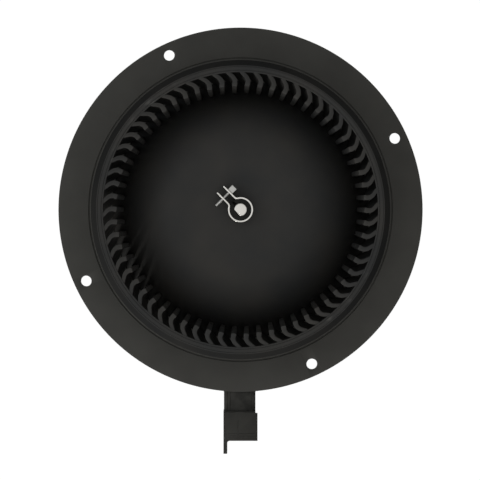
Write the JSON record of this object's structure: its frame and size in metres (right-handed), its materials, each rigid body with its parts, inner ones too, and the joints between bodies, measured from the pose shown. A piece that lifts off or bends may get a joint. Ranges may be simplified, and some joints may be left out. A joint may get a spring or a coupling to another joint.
{
  "type": "blower motor with fan wheel",
  "caption": "Round-flanged blower motor with a forward-curved squirrel-cage wheel clamped to its shaft and a connector arm.",
  "frame": {"origin": "centre of the screw-hole circle on the flange's front face, on the shaft axis", "axes": "+Z along the shaft towards the wheel's inlet, -Y towards the connector, +X to the right seen from the inlet"},
  "size_m": [0.1972, 0.2309, 0.1105],
  "materials": {
    "flange_plastic": "moulded glass-filled polypropylene, satin black",
    "connector_plastic": "moulded black polyamide, satin",
    "wheel_plastic": "moulded black polypropylene, satin",
    "isolator_rubber": "black rubber",
    "zinc_plate": "zinc-plated steel",
    "bright_steel": "bright ground steel",
    "spring_steel": "spring steel",
    "screw_steel": "plated steel screw",
    "sintered_bronze": "oil-filled sintered bronze",
    "ferrite": "sintered ferrite",
    "lamination_steel": "stamped steel laminations",
    "copper_wire": "enamelled copper",
    "commutator_copper": "turned copper",
    "phenolic": "phenolic board and moulding",
    "contact_brass": "stamped brass",
    "wire_insulation": "PVC wire insulation",
    "capacitor_resin": "dipped resin",
    "thrust_fibre": "fibre washers",
    "brush_carbon": "pressed carbon"
  },
  "bodies": {
    "housing": {"mounting_flange": "flange_plastic", "rear_cover": "flange_plastic", "connector_shell": "connector_plastic", "motor_isolators": "isolator_rubber", "cover_screws": "zinc_plate", "motor_can": "zinc_plate", "end_bell": "zinc_plate", "magnet_clips": "spring_steel", "front_bearing_clip": "spring_steel", "rear_bearing_clip": "spring_steel", "brush_spring_a": "spring_steel", "brush_spring_b": "spring_steel", "front_bearing": "sintered_bronze", "rear_bearing": "sintered_bronze", "field_magnets": "ferrite", "choke_cores": "ferrite", "choke_windings": "copper_wire", "brush_shunt_a": "copper_wire", "brush_shunt_b": "copper_wire", "brush_card": "phenolic", "terminal_blades": "contact_brass", "brush_boxes": "contact_brass", "lead_wires": "wire_insulation", "noise_capacitor": "capacitor_resin"},
    "rotor": {"rotor_shaft": "bright_steel", "armature_core": "lamination_steel", "armature_windings": "copper_wire", "commutator_bars": "commutator_copper", "commutator_core": "phenolic", "thrust_washers": "thrust_fibre", "wheel_hub": "wheel_plastic", "wheel_vanes": "wheel_plastic", "wheel_rim": "wheel_plastic", "hub_clamp": "bright_steel", "clamp_screw": "screw_steel"},
    "brush_a": {"carbon_brush_a": "brush_carbon"},
    "brush_b": {"carbon_brush_b": "brush_carbon"}
  },
  "joints": [
    {"name": "wheel_spin", "type": "hinge", "parent": "housing", "child": "rotor", "pos_m": [0, 0, 0], "axis": [0, 0, 1], "continuous": true},
    {"name": "brush_a_slide", "type": "slide", "parent": "housing", "child": "brush_a", "axis": [0, 1, 0], "range_m": [0, 0.003], "stiffness_N_per_m": 300, "springref_m": -0.01, "deforming": ["brush_spring_a", "brush_shunt_a"]},
    {"name": "brush_b_slide", "type": "slide", "parent": "housing", "child": "brush_b", "axis": [0, -1, 0], "range_m": [0, 0.003], "stiffness_N_per_m": 300, "springref_m": -0.01, "deforming": ["brush_spring_b", "brush_shunt_b"]}
  ]
}
